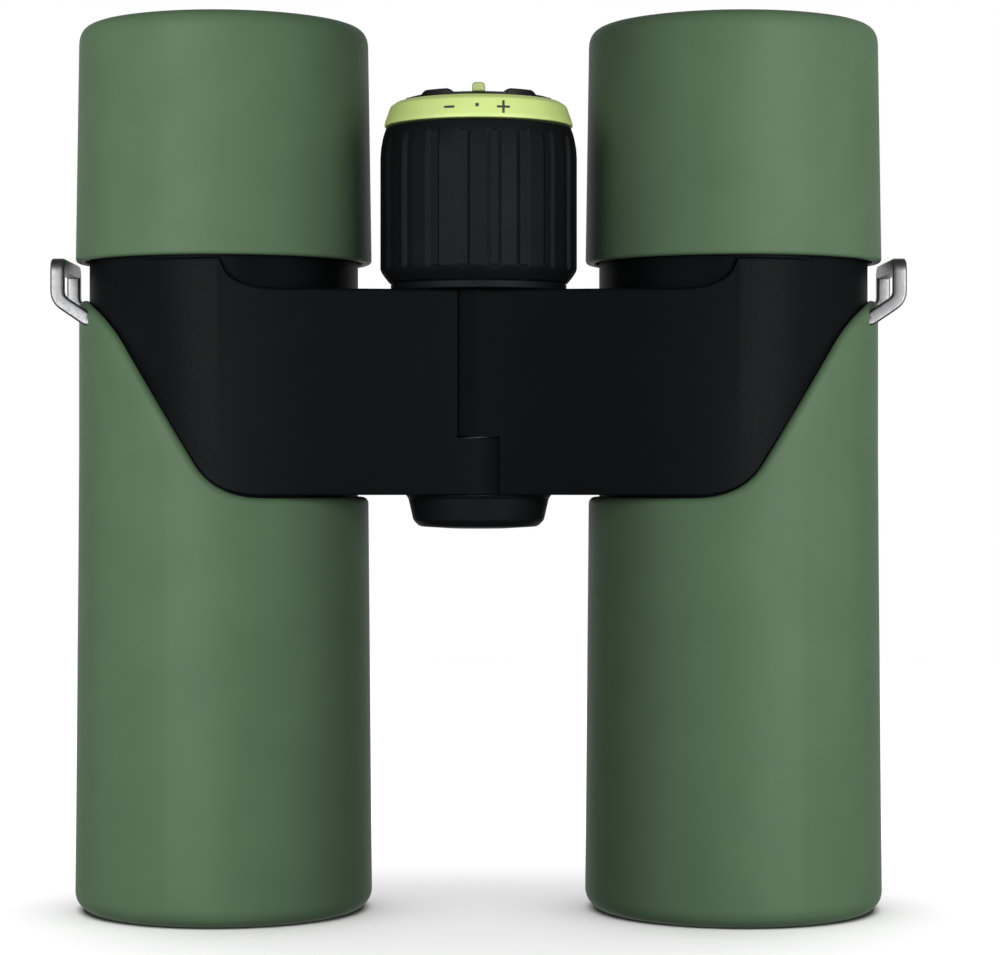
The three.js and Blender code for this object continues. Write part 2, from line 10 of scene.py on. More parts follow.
import bmesh
import bpy
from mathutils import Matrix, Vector


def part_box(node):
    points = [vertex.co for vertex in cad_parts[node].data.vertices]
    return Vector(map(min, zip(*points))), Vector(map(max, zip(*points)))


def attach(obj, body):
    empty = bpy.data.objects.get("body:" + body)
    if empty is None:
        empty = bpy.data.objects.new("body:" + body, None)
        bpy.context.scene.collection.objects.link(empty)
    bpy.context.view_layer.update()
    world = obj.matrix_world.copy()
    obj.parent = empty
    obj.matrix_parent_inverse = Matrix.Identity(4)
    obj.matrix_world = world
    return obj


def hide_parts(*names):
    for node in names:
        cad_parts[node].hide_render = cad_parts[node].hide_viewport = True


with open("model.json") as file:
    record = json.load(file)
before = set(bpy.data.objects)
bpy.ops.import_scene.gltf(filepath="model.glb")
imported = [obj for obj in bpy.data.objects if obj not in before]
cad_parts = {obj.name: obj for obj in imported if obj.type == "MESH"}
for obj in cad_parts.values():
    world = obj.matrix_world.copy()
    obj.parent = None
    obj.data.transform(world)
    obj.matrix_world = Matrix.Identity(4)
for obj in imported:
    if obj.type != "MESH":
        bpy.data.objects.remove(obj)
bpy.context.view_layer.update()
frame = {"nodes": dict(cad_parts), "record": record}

MM = 0.001
SIDES = ("left", "right")
FLOOR_RADIUS = 0.5


def box_mm(node):
    """Lowest and highest corner of a CAD node, in millimetres."""
    low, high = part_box(node)
    return low / MM, high / MM


# ----------------------------------------------------------------------------------------------
# Sizes taken from the frame
# ----------------------------------------------------------------------------------------------

armour_low, armour_high = box_mm("left_armour")
BARREL_X = -(armour_low.x + armour_high.x) / 2
ARMOUR_FOOT_RADIUS = (armour_high.x - armour_low.x) / 2
ARMOUR_TOP_RADIUS = ARMOUR_FOOT_RADIUS - 0.5
ARMOUR_TAPER_TOP = 58

grip_low, grip_high = box_mm("wheel_grip")
WHEEL_RADIUS = (grip_high.x - grip_low.x) / 2
WHEEL_BOTTOM = grip_low.z - 0.3
WHEEL_TOP = grip_high.z
HINGE_Y = (grip_low.y + grip_high.y) / 2

bridge_low, bridge_high = box_mm("left_bridge")
KNUCKLE_RADIUS = bridge_high.x
PANEL_CREST = -bridge_low.y
COLLAR_TOP = bridge_high.z
COLLAR_RADIUS = 18.1
COLLAR_BOTTOM = bridge_low.z
BRIDGE_BOTTOM = COLLAR_BOTTOM + 0.5
BRIDGE_TOP = 82.8
SEAM_HEIGHT = 63.5
SEAM_OFFSET = 2.8
SEAM_GAP = 0.06
CHAMBER_RADIUS = 15.6

eyecup_low, eyecup_high = box_mm("left_eyecup")
EYECUP_BOTTOM = eyecup_low.z
EYECUP_TOP = eyecup_high.z

# Radius and height at the two ends of the scale ring's sloping wall
SCALE_FOOT = (12.5, 105.3)
SCALE_SHOULDER = (11.75, 107.45)


# ----------------------------------------------------------------------------------------------
# Mesh helpers
# ----------------------------------------------------------------------------------------------

def rounded(points, steps=5):
    """A closed outline with its corners rounded, from (u, v, corner radius) points."""
    outline = []
    count = len(points)
    for i, (u, v, radius) in enumerate(points):
        here = Vector((u, v))
        before = Vector(points[i - 1][:2]) - here
        after = Vector(points[(i + 1) % count][:2]) - here
        if radius == 0 or before.length < 1e-9 or after.length < 1e-9:
            outline.append((u, v))
            continue
        half = before.angle(after) / 2
        reach = min(radius / math.tan(half), before.length * 0.49, after.length * 0.49)
        start = here + before.normalized() * reach
        end = here + after.normalized() * reach
        for step in range(steps + 1):
            t = step / steps
            curve = (1 - t) ** 2 * start + 2 * t * (1 - t) * here + t * t * end
            outline.append((curve.x, curve.y))
    return outline


def finish_mesh(name, bm, centre=(0, 0), mirror=False, sharp=32):
    """Turns a bmesh in millimetres into an object in metres, mirrored for the right side."""
    flip = -1 if mirror else 1
    for vertex in bm.verts:
        x, y, z = vertex.co
        vertex.co = Vector((flip * x + centre[0], y + centre[1], z)) * MM
    bmesh.ops.remove_doubles(bm, verts=bm.verts, dist=1e-7)
    bmesh.ops.recalc_face_normals(bm, faces=bm.faces)
    mesh = bpy.data.meshes.new(name)
    bm.to_mesh(mesh)
    bm.free()
    mesh.shade_smooth()
    mesh.set_sharp_from_angle(angle=math.radians(sharp))
    obj = bpy.data.objects.new(name, mesh)
    bpy.context.scene.collection.objects.link(obj)
    return obj


def skin(bm, rings, closed_rings=True, closed_run=False):
    """Joins rows of vertices with quads. Every row has the same number of points."""
    rows = [[bm.verts.new(point) for point in ring] for ring in rings]
    pairs = list(zip(rows, rows[1:]))
    if closed_run:
        pairs.append((rows[-1], rows[0]))
    for row, following in pairs:
        count = len(row)
        for i in range(count if closed_rings else count - 1):
            j = (i + 1) % count
            corners = [row[i], row[j], following[j], following[i]]
            if len({tuple(c.co) for c in corners}) > 2:
                bm.faces.new(corners)
    return rows


def level_ring(radius, height, sides):
    """Points of a level circle about the Z axis."""
    turns = [2 * math.pi * i / sides for i in range(sides)]
    return [(radius * math.cos(turn), radius * math.sin(turn), height) for turn in turns]


def lathe(bm, profile, sides):
    """A body of revolution about Z. The profile is a closed ring, or starts and ends on the axis."""
    on_axis = profile[0][0] == 0 and profile[-1][0] == 0
    rings = [level_ring(radius, height, sides) for radius, height in profile]
    if not on_axis:
        skin(bm, rings, closed_run=True)
        return
    rows = skin(bm, rings[1:-1])
    for row, (_, height) in ((rows[0], profile[0]), (rows[-1], profile[-1])):
        tip = bm.verts.new((0, 0, height))
        for i in range(sides):
            bm.faces.new([row[i], row[(i + 1) % sides], tip])


def turned(name, profile, centre=(0, 0), sides=144):
    """A turned object about an upright axis, from (radius, height) points."""
    bm = bmesh.new()
    lathe(bm, profile, sides)
    return finish_mesh(name, bm, centre)


def evaluated(obj):
    """Applies an object's modifiers to its mesh."""
    bpy.context.view_layer.update()
    graph = bpy.context.evaluated_depsgraph_get()
    mesh = bpy.data.meshes.new_from_object(obj.evaluated_get(graph))
    obj.modifiers.clear()
    obj.data = mesh


def boolean(obj, other, operation):
    """Joins or cuts with another object, which is then removed."""
    modifier = obj.modifiers.new("cut", "BOOLEAN")
    modifier.operation = operation
    modifier.solver = "EXACT"
    modifier.object = other
    evaluated(obj)
    bpy.data.objects.remove(other)


def centre_of(side):
    """Place of a barrel's axis."""
    return (-BARREL_X if side == "left" else BARREL_X, 0)


# ----------------------------------------------------------------------------------------------
# Materials
# ----------------------------------------------------------------------------------------------

def new_material(name):
    """A material with its node tree and its main shader."""
    material = bpy.data.materials.new(name)
    material.use_nodes = True
    tree = material.node_tree
    return material, tree, tree.nodes["Principled BSDF"]


def noise(tree, scale, detail):
    """Noise in object space; scale is in patches per millimetre."""
    place = tree.nodes.new("ShaderNodeTexCoord")
    node = tree.nodes.new("ShaderNodeTexNoise")
    node.inputs["Scale"].default_value = scale / MM
    node.inputs["Detail"].default_value = detail
    node.inputs["Roughness"].default_value = 0.55
    tree.links.new(place.outputs["Object"], node.inputs["Vector"])
    return node.outputs["Fac"]


def ramp(tree, value, low, high):
    """Maps a noise onto a run between two colours."""
    node = tree.nodes.new("ShaderNodeValToRGB")
    node.color_ramp.elements[0].position = 0.35
    node.color_ramp.elements[1].position = 0.65
    node.color_ramp.elements[0].color = (*low, 1)
    node.color_ramp.elements[1].color = (*high, 1)
    tree.links.new(value, node.inputs["Fac"])
    return node.outputs["Color"]


def grey(tree, value, low, high):
    """Maps a noise onto a run between two numbers."""
    return ramp(tree, value, (low,) * 3, (high,) * 3)


def bump(tree, shader, value, height):
    """Adds relief of a height in millimetres."""
    node = tree.nodes.new("ShaderNodeBump")
    node.inputs["Distance"].default_value = height * MM
    node.inputs["Strength"].default_value = 1.0
    tree.links.new(value, node.inputs["Height"])
    tree.links.new(node.outputs["Normal"], shader.inputs["Normal"])


def surface(name, colours, roughness, grain, relief, specular=0.5, metallic=0.0):
    """A finish with slow colour variation, uneven gloss and fine moulded grain.

    Colours and roughness are (low, high) pairs. The grain is in patches per millimetre, and its
    relief in millimetres.
    """
    material, tree, shader = new_material(name)
    colour_patches = 0.12
    slow = noise(tree, colour_patches, 2.0)
    fine = noise(tree, grain, 4.0)
    tree.links.new(ramp(tree, slow, *colours), shader.inputs["Base Color"])
    tree.links.new(grey(tree, fine, *roughness), shader.inputs["Roughness"])
    bump(tree, shader, fine, relief)
    shader.inputs["Specular IOR Level"].default_value = specular
    shader.inputs["Metallic"].default_value = metallic
    return material


def green_rubber():
    """Matt armour rubber with a faint sheen."""
    colours = ((0.106, 0.182, 0.1), (0.114, 0.194, 0.107))
    material = surface("green_rubber", colours, (0.5, 0.6), grain=3.2, relief=0.012, specular=0.22)
    shader = material.node_tree.nodes["Principled BSDF"]
    shader.inputs["Sheen Weight"].default_value = 0.03
    shader.inputs["Sheen Roughness"].default_value = 0.4
    return material


def black_body():
    """Satin black coating of the bridge."""
    colours = ((0.0024, 0.0029, 0.0035), (0.0029, 0.0034, 0.0041))
    return surface("black_body", colours, (0.5, 0.58), grain=4.0, relief=0.006, specular=0.08)


def black_rubber():
    """Rubber of the wheel grip."""
    colours = ((0.0032, 0.0036, 0.0042), (0.004, 0.0044, 0.005))
    return surface("black_rubber", colours, (0.5, 0.6), grain=3.6, relief=0.01, specular=0.06)


def black_plastic():
    """Slightly glossier plastic of the dial."""
    colours = ((0.0028, 0.003, 0.0034), (0.0034, 0.0037, 0.0041))
    return surface("black_plastic", colours, (0.42, 0.5), grain=4.0, relief=0.006, specular=0.15)


def inner_black():
    """Dull black of the tubes and retaining rings."""
    colours = ((0.007, 0.007, 0.008), (0.009, 0.009, 0.01))
    return surface("inner_black", colours, (0.6, 0.75), grain=3.0, relief=0.01)


def seal_rubber():
    """Rubber of the O-rings."""
    colours = ((0.008,) * 3, (0.011,) * 3)
    return surface("seal_rubber", colours, (0.65, 0.8), grain=3.0, relief=0.01)


def lime_plastic(name, depth):
    """Lime plastic; a greater depth gives a darker colour."""
    dark = [value / depth for value in (0.4, 0.5, 0.165)]
    light = [value / depth for value in (0.43, 0.53, 0.178)]
    return surface(name, (dark, light), (0.45, 0.55), grain=4.0, relief=0.004)


def mark_paint():
    """Dark print of the scale marks."""
    colours = ((0.02, 0.022, 0.02), (0.028, 0.03, 0.028))
    return surface("mark_paint", colours, (0.5, 0.6), grain=5.0, relief=0.003)


def steel():
    """Satin steel of the strap lugs."""
    colours = ((0.22, 0.22, 0.225), (0.26, 0.26, 0.265))
    return surface("lug_steel", colours, (0.4, 0.48), grain=2.4, relief=0.002, metallic=1.0)


def brass():
    """Brass of the hinge bush."""
    colours = ((0.56, 0.39, 0.15), (0.64, 0.46, 0.2))
    return surface("bush_brass", colours, (0.25, 0.35), grain=2.0, relief=0.004, metallic=1.0)


def coated_glass(name, tint):
    """Optical glass with a coloured antireflection coating."""
    material, tree, shader = new_material(name)
    darker = tuple(value * 0.97 for value in tint)
    slow = noise(tree, 0.05, 1.0)
    fine = noise(tree, 0.4, 3.0)
    tree.links.new(ramp(tree, slow, tint, darker), shader.inputs["Base Color"])
    tree.links.new(grey(tree, fine, 0.0, 0.02), shader.inputs["Roughness"])
    shader.inputs["Transmission Weight"].default_value = 1.0
    shader.inputs["IOR"].default_value = 1.52
    return material


# ----------------------------------------------------------------------------------------------
# Outlines shared by the armour and the bridge
# ----------------------------------------------------------------------------------------------

def quadratic_height(x, start, control, end):
    """Height of a quadratic curve at a place along X."""
    a = start[0] - 2 * control[0] + end[0]
    b = 2 * (control[0] - start[0])
    c = start[0] - x
    if abs(a) < 1e-9:
        t = -c / b
    else:
        root = math.sqrt(max(b * b - 4 * a * c, 0))
        t = (-b - root) / (2 * a)
        if not 0 <= t <= 1:
            t = (-b + root) / (2 * a)
    t = min(max(t, 0), 1)
    return (1 - t) ** 2 * start[1] + 2 * t * (1 - t) * control[1] + t * t * end[1]


def armour_edge(x, inset=0.0):
    """Height of the armour's cut edge, seen from the front, at x towards the hinge."""
    level = BRIDGE_BOTTOM - 0.4 + inset
    low_start = (7 - inset, level)
    low_end = (-2.4 + 0.6 * inset, 60 + 0.5 * inset)
    high_start = (-12.5 + inset, 75.4 + 0.5 * inset)
    if x >= low_start[0]:
        return level
    if x >= low_end[0]:
        return quadratic_height(x, low_start, (0.5 - inset, level), low_end)
    if x >= high_start[0]:
        share = (x - low_end[0]) / (high_start[0] - low_end[0])
        return low_end[1] + share * (high_start[1] - low_end[1])
    return quadratic_height(x, high_start, (-15.5 + inset, 80 + 0.5 * inset), (-20.4, 82.6))


def panel_top(x):
    """Height of the bridge's top edge: full height by the barrel, then a curve down to the arm."""
    full = EYECUP_BOTTOM - 0.3
    curve_start = 1
    curve_end = 9
    if x <= curve_start:
        return full
    if x >= curve_end:
        return BRIDGE_TOP
    return quadratic_height(x, (curve_end, BRIDGE_TOP), (1.6, BRIDGE_TOP), (curve_start, full))


def panel_back(x):
    """Depth of the bridge's back surface: out by the barrel, level, then in to the hinge."""
    points = ((-9.6, -8), (3, 6), (16.6, 6), (27.1, -1.6))
    for (start, low), (end, high) in zip(points, points[1:]):
        if x <= end:
            return low + (high - low) * max(0, (x - start) / (end - start))
    return points[-1][1]


def cubic(points, t):
    """Point on a cubic curve with four control points."""
    weights = ((1 - t) ** 3, 3 * t * (1 - t) ** 2, 3 * t * t * (1 - t), t ** 3)
    return tuple(sum(w * p[k] for w, p in zip(weights, points)) for k in (0, 1))


def panel_front():
    """Front surface of the bridge in plan, from the outer front of the barrel to the hinge."""
    outer = math.radians(32)
    start = (-COLLAR_RADIUS * math.sin(outer), -COLLAR_RADIUS * math.cos(outer))
    crest = (3, -PANEL_CREST)
    end = (BARREL_X, HINGE_Y - KNUCKLE_RADIUS)
    first = [start, (-6, -PANEL_CREST + 1.1), (-2, -PANEL_CREST), crest]
    second = [crest, (14, -PANEL_CREST), (22, end[1] - 0.3), end]
    steps = 28
    path = [cubic(first, i / steps) for i in range(steps)]
    path += [cubic(second, i / steps) for i in range(steps + 1)]
    return path


# ----------------------------------------------------------------------------------------------
# Barrel pieces
# ----------------------------------------------------------------------------------------------

def armour_radius(height):
    """Outer radius of the armour, which narrows a little towards the bridge."""
    share = min(max(height / ARMOUR_TAPER_TOP, 0), 1)
    return ARMOUR_FOOT_RADIUS + (ARMOUR_TOP_RADIUS - ARMOUR_FOOT_RADIUS) * share


def armour_cut(columns):
    """Angle, height and slope of the armour's cut edge, all the way round."""
    angles = [2 * math.pi * i / columns for i in range(columns)]
    heights = [armour_edge(ARMOUR_TOP_RADIUS * math.cos(angle)) for angle in angles]
    run = 2 * ARMOUR_TOP_RADIUS * 2 * math.pi / columns
    slopes = [(heights[(i + 1) % columns] - heights[i - 1]) / run for i in range(columns)]
    return list(zip(angles, heights, slopes))


def make_armour(side):
    """Rubber sleeve: rolled foot, tapered wall and a thick rounded edge round the cut-out."""
    edge_round = 0.9
    foot_round = 2.6
    lip_top = 1.2
    tube_hole = 17.7
    collar_hole = COLLAR_RADIUS + 0.35
    shelf = BRIDGE_BOTTOM - 1.2
    cut = armour_cut(240)

    def level(radius, height):
        """A ring of one radius and height, as (radius, angle, height) points."""
        return [(radius, angle, height) for angle, _, _ in cut]

    rings = [level(16.9, lip_top), level(16.6, 0.9), level(16.6, 0.35), level(16.95, 0)]
    for step in range(9):
        turn = math.radians(-90 + 90 * step / 8)
        radius = ARMOUR_FOOT_RADIUS - foot_round + foot_round * math.cos(turn)
        rings.append(level(radius, foot_round + foot_round * math.sin(turn)))
    for share in (0.15, 0.35, 0.55, 0.75, 0.9):
        ring = []
        for angle, top, _ in cut:
            height = foot_round + (top - edge_round - foot_round) * share
            ring.append((armour_radius(height), angle, height))
        rings.append(ring)
    for step in range(7):
        turn = math.radians(90 * step / 6)
        back = edge_round * (1 - math.sin(turn))
        inward = edge_round * (1 - math.cos(turn))
        ring = []
        for angle, top, slope in cut:
            length = math.hypot(slope, 1)
            shifted = angle + back * slope / length / ARMOUR_TOP_RADIUS
            height = top - back / length
            ring.append((armour_radius(height) - inward, shifted, height))
        rings.append(ring)
    rings.append([(collar_hole, angle, top) for angle, top, _ in cut])
    rings += [level(collar_hole, shelf), level(tube_hole, shelf), level(tube_hole, lip_top)]
    bm = bmesh.new()
    skin(bm, [
        [(radius * math.cos(angle), radius * math.sin(angle), height) for radius, angle, height in ring]
        for ring in rings
    ], closed_run=True)
    armour = finish_mesh(f"{side}_armour_sleeve", bm, centre_of(side), side == "right")
    return dress(armour, f"{side}_half", "armour_rubber", MATERIALS["green"], f"{side}_armour")


def bridge_arm():
    """The front panel with its arm, lofted from the outer front of the barrel to the hinge."""
    side_corner = 0.25
    top_corner = 0.45
    panel_end = 6.65
    bm = bmesh.new()
    sections = []
    for x, front in panel_front():
        back = panel_back(x)
        low = armour_edge(x, 0.35) if x < panel_end else BRIDGE_BOTTOM
        high = panel_top(x)
        outline = rounded([
            (front, low, side_corner),
            (back, low, side_corner),
            (back, high, top_corner),
            (front, high, top_corner),
        ])
        sections.append([(x, y, z) for y, z in outline])
    rows = skin(bm, sections)
    bm.faces.new(rows[0])
    bm.faces.new(rows[-1])
    return finish_mesh("bridge_arm", bm)


def seam_block(bottom, top):
    """A block beyond the seam in front of the hinge, to cut the arm back with."""
    width = 10
    half_depth = 20
    bm = bmesh.new()
    bmesh.ops.create_cube(bm, size=1)
    for vertex in bm.verts:
        vertex.co.x = BARREL_X - SEAM_OFFSET + (width if vertex.co.x > 0 else 0)
        vertex.co.y = HINGE_Y + (half_depth if vertex.co.y > 0 else -half_depth)
        vertex.co.z = top if vertex.co.z > 0 else bottom
    return finish_mesh("seam_block", bm)


def hinge_drum(bottom, top, radius, bevel=0.0):
    """A drum about the hinge. Its edges are bevelled if a bevel is given."""
    profile = [(0, bottom), (radius, bottom), (radius, top), (0, top)]
    if bevel:
        profile[1:3] = [
            (radius - bevel, bottom),
            (radius, bottom + bevel),
            (radius, top - bevel),
            (radius - bevel, top),
        ]
    return turned("hinge_drum", profile, (BARREL_X, HINGE_Y), 128)


def prism_collar():
    """The ring round the prism chamber, with a step inside its top edge."""
    step_radius = CHAMBER_RADIUS - 1.8
    step_height = COLLAR_TOP - 4
    return turned("prism_collar", rounded([
        (CHAMBER_RADIUS, COLLAR_BOTTOM, 0),
        (COLLAR_RADIUS, COLLAR_BOTTOM, 0.2),
        (COLLAR_RADIUS, COLLAR_TOP, 0.3),
        (step_radius, COLLAR_TOP, 0),
        (step_radius, step_height, 0),
        (CHAMBER_RADIUS, step_height, 0),
    ]), sides=192)


def make_bridge(side):
    """Casting: collar, front panel with its arm, and one hinge knuckle.

    The left knuckle is the lower one. Each arm is cut away round the other side's knuckle.
    """
    if side == "left":
        own = (BRIDGE_BOTTOM, SEAM_HEIGHT - SEAM_GAP)
        other = (own[1], BRIDGE_TOP + 1)
    else:
        own = (SEAM_HEIGHT + SEAM_GAP, BRIDGE_TOP)
        other = (BRIDGE_BOTTOM - 1, own[0])
    arm = bridge_arm()
    boolean(arm, hinge_drum(*other, KNUCKLE_RADIUS + 0.3), "DIFFERENCE")
    boolean(arm, seam_block(*other), "DIFFERENCE")
    boolean(arm, hinge_drum(*own, KNUCKLE_RADIUS, bevel=0.15), "UNION")
    boolean(arm, prism_collar(), "UNION")
    bm = bmesh.new()
    bm.from_mesh(arm.data)
    bpy.data.objects.remove(arm)
    for vertex in bm.verts:
        vertex.co /= MM
    bridge = finish_mesh(f"{side}_bridge_casting", bm, centre_of(side), side == "right")
    return dress(bridge, f"{side}_half", "body_black", MATERIALS["body"], f"{side}_bridge")


def make_eyecup(side):
    """Twist-up eyecup: soft rounded rim, funnel inside and a fine bead at its lower edge."""
    foot_radius = ARMOUR_FOOT_RADIUS - 0.05
    top_radius = ARMOUR_FOOT_RADIUS - 0.55
    sleeve_hole = 18.7
    sleeve_hole_top = EYECUP_TOP - 2.7
    funnel_foot = 108.6
    profile = rounded([
        (sleeve_hole, EYECUP_BOTTOM, 0.3),
        (foot_radius, EYECUP_BOTTOM, 0.6),
        (top_radius, EYECUP_TOP, 3.6),
        (14.2, EYECUP_TOP, 1.4),
        (12.6, funnel_foot, 0.4),
        (13.6, funnel_foot - 0.4, 0.3),
        (15, sleeve_hole_top, 0.5),
        (sleeve_hole, sleeve_hole_top, 0.5),
    ], 9)
    cup = turned(f"{side}_eyecup_shell", profile, centre_of(side), 192)
    return dress(cup, f"{side}_eyecup", "armour_rubber", MATERIALS["green"], f"{side}_eyecup")


def sweep(bm, path, section):
    """A bar of any section along a path of points, closed at both ends."""
    rings = []
    for i, point in enumerate(path):
        ahead = path[min(i + 1, len(path) - 1)] - path[max(i - 1, 0)]
        ahead.normalize()
        across = ahead.cross(Vector((1, 0.02, 0))).normalized()
        if across.length < 0.5:
            across = ahead.cross(Vector((0, 0, 1))).normalized()
        up = ahead.cross(across)
        rings.append([point + a * across + b * up for a, b in section])
    rows = skin(bm, rings)
    bm.faces.new(rows[0])
    bm.faces.new(rows[-1])


def rounded_path(corners, steps=8):
    """An open path of (x, y, z, corner radius) points with its corners rounded."""
    path = [Vector(corners[0][:3])]
    for before, corner, after in zip(corners, corners[1:], corners[2:]):
        here = Vector(corner[:3])
        back = Vector(before[:3]) - here
        ahead = Vector(after[:3]) - here
        half = back.angle(ahead) / 2
        reach = min(corner[3] / math.tan(half), back.length * 0.48, ahead.length * 0.48)
        start = here + back.normalized() * reach
        end = here + ahead.normalized() * reach
        for step in range(steps + 1):
            t = step / steps
            path.append((1 - t) ** 2 * start + 2 * t * (1 - t) * here + t * t * end)
    path.append(Vector(corners[-1][:3]))
    return path


def make_strap_lug(side):
    """Satin steel loop of squarish bar: two bent legs joined by a bar that runs in depth."""
    low, high = box_mm("left_strap_lug")
    half = 0.92
    corner = 0.42
    leg_x = low.x + BARREL_X + half
    bar_z = high.z - half
    half_depth = high.y - half
    leg = [
        (-15.6, -half_depth, 78.8, 0),
        (-17.6, -half_depth, 79.3, 0.8),
        (leg_x, -half_depth, 81.9, 2.2),
        (leg_x, -half_depth, bar_z, 1.0),
    ]
    far_leg = [(x, -y, z, radius) for x, y, z, radius in reversed(leg)]
    section = rounded([
        (-half, -half, corner),
        (half, -half, corner),
        (half, half, corner),
        (-half, half, corner),
    ])
    bm = bmesh.new()
    sweep(bm, rounded_path(leg + far_leg), section)
    lug = finish_mesh(f"{side}_strap_loop", bm, centre_of(side), side == "right", 60)
    return dress(lug, f"{side}_half", "lug_steel", MATERIALS["steel"], f"{side}_strap_lug")


# ----------------------------------------------------------------------------------------------
# Focusing wheel and dial
# ----------------------------------------------------------------------------------------------

def land_radius(height):
    """Radius of the grip between its grooves: rounded in at the top and more sharply at the foot."""
    shoulder = 4
    foot = 1.9
    above = max(0, (height - WHEEL_TOP + shoulder) / shoulder)
    below = max(0, (WHEEL_BOTTOM + foot - height) / foot)
    return WHEEL_RADIUS - 0.75 * above ** 2 - 1.3 * below ** 1.3


def make_wheel_grip():
    """Fluted rubber sleeve: flat lands with shallow grooves between them."""
    grooves = 20
    per_groove = 12
    columns = per_groove * grooves
    land = 0.55
    flank = 0.07
    depth = 0.38
    bore = 11.3
    groove_low = WHEEL_BOTTOM + 1.5
    groove_high = WHEEL_TOP - 1.1
    start = -math.pi / 2 - math.pi * per_groove * land / columns
    angles = [start + 2 * math.pi * i / columns for i in range(columns)]
    wall_height = WHEEL_TOP - WHEEL_BOTTOM - 3.4
    heights = [WHEEL_BOTTOM + rise for rise in (0.05, 0.3, 0.8, 1.3, 1.6, 1.9)]
    heights += [WHEEL_BOTTOM + 2.0 + wall_height * i / 14 for i in range(15)]
    heights += [WHEEL_TOP - drop for drop in (1.1, 0.8, 0.5, 0.25, 0.08, 0)]

    def grip_radius(height, share):
        """Radius at a height and a share of the way from one land to the next."""
        fade = min(max((height - groove_low) / 0.4, 0), max((groove_high - height) / 0.5, 0), 1)
        if share >= land:
            groove = min((share - land) / flank, (1 - share) / flank, 1)
            return land_radius(height) - fade * depth * groove
        facet = (share - land / 2) * 2 * math.pi / grooves
        flat = math.cos(math.pi / grooves * land) / math.cos(facet)
        return land_radius(height) * (1 - fade * (1 - flat))

    rings = [[bore] * columns]
    for height in heights:
        rings.append([grip_radius(height, (i % per_groove) / per_groove) for i in range(columns)])
    rings.append([bore] * columns)
    bm = bmesh.new()
    skin(bm, [
        [(r * math.cos(angle), r * math.sin(angle), height) for r, angle in zip(ring, angles)]
        for ring, height in zip(rings, [heights[0], *heights, heights[-1]])
    ], closed_run=True)
    grip = finish_mesh("focus_wheel_grip", bm, (0, HINGE_Y), sharp=24)
    return dress(grip, "focus_wheel", "grip_rubber", MATERIALS["grip"], "wheel_grip")


def make_scale_ring():
    """Bright ring under the dial: a steep wall with a rounded shoulder."""
    low, high = box_mm("scale_ring")
    radius = high.x
    bore = 10.2
    profile = rounded([
        (bore, low.z, 0.1),
        (radius, low.z, 0.2),
        (*SCALE_FOOT, 0.8),
        (*SCALE_SHOULDER, 0.7),
        (bore + 0.7, high.z, 0.5),
        (bore, high.z, 0.1),
    ])
    ring = turned("diopter_scale_ring", profile, (0, HINGE_Y))
    return dress(ring, "focus_wheel", "scale_lime", MATERIALS["lime"], "scale_ring")


def scale_radius(height):
    """Radius of the sloping wall of the scale ring at a height."""
    share = (height - SCALE_FOOT[1]) / (SCALE_SHOULDER[1] - SCALE_FOOT[1])
    return SCALE_FOOT[0] + (SCALE_SHOULDER[0] - SCALE_FOOT[0]) * share


def make_scale_marks():
    """Minus, dot and plus on the scale ring, as thin raised print."""
    level = 106.2
    stroke = 0.28
    dot = 0.42
    plus = 1.7
    minus_x = -3.85
    plus_x = 3.25
    strokes = [
        (minus_x, level, 1.35, stroke),
        (-0.2, level + 0.2, dot, dot),
        (plus_x, level, plus, stroke),
        (plus_x, level, stroke, plus),
    ]
    proud = 0.04
    bm = bmesh.new()
    for across, middle, width, height in strokes:
        rows = []
        for j in range(5):
            z = middle + height * (j / 4 - 0.5)
            reach = scale_radius(z) + proud
            turns = [(across + width * (i / 8 - 0.5)) / reach for i in range(9)]
            rows.append([(reach * math.sin(turn), -reach * math.cos(turn), z) for turn in turns])
        skin(bm, rows, closed_rings=False)
    marks = finish_mesh("diopter_scale_marks", bm, (0, HINGE_Y))
    thick = marks.modifiers.new("thickness", "SOLIDIFY")
    thick.thickness = 2 * proud * MM
    thick.offset = 0
    evaluated(marks)
    return dress(marks, "focus_wheel", "dial_black", MATERIALS["mark"])


def make_dial():
    """Dioptre dial: a sunk cup with broad teeth round its rim and a gap at the front."""
    _, high = box_mm("diopter_dial")
    radius = high.x
    spacing = 360 / 5
    columns = 180
    flat_half = 11
    flank = 3.5
    tooth_height = 0.5
    bottom = 105.4
    floor = 106.7
    ledge = 107
    bore = 1.8
    outside = [(bore, bottom), (7.9, bottom), (9.5, bottom), (radius, bottom + 0.4), (radius, 107.4)]
    inside = [(7.3, ledge + 0.2), (6.9, ledge), (3.2, ledge), (3, floor), (bore, floor)]
    # Distance inwards from the side, and down from the top of the rim
    rim = ((0, 0.15), (0.12, 0.06), (0.3, 0), (1.2, 0), (1.5, 0.075), (1.75, 0.3))

    def rim_height(angle):
        """Height of the rim, which steps down between the teeth over sloping flanks."""
        turn = (math.degrees(angle) + 90 + spacing / 2) % spacing
        away = min(turn, spacing - turn)
        tooth = min(max((flat_half + flank - away) / flank, 0), 1)
        return high.z - tooth_height * (1 - tooth)

    rim_heights = [rim_height(2 * math.pi * i / columns) for i in range(columns)]
    rings = [level_ring(*point, columns) for point in outside]
    for inwards, down in rim:
        circle = level_ring(radius - inwards, 0, columns)
        rings.append([(x, y, top - down) for (x, y, _), top in zip(circle, rim_heights)])
    rings += [level_ring(*point, columns) for point in inside]
    bm = bmesh.new()
    skin(bm, rings, closed_run=True)
    dial = finish_mesh("diopter_dial_cap", bm, (0, HINGE_Y))
    return dress(dial, "dial", "dial_black", MATERIALS["plastic"], "diopter_dial")


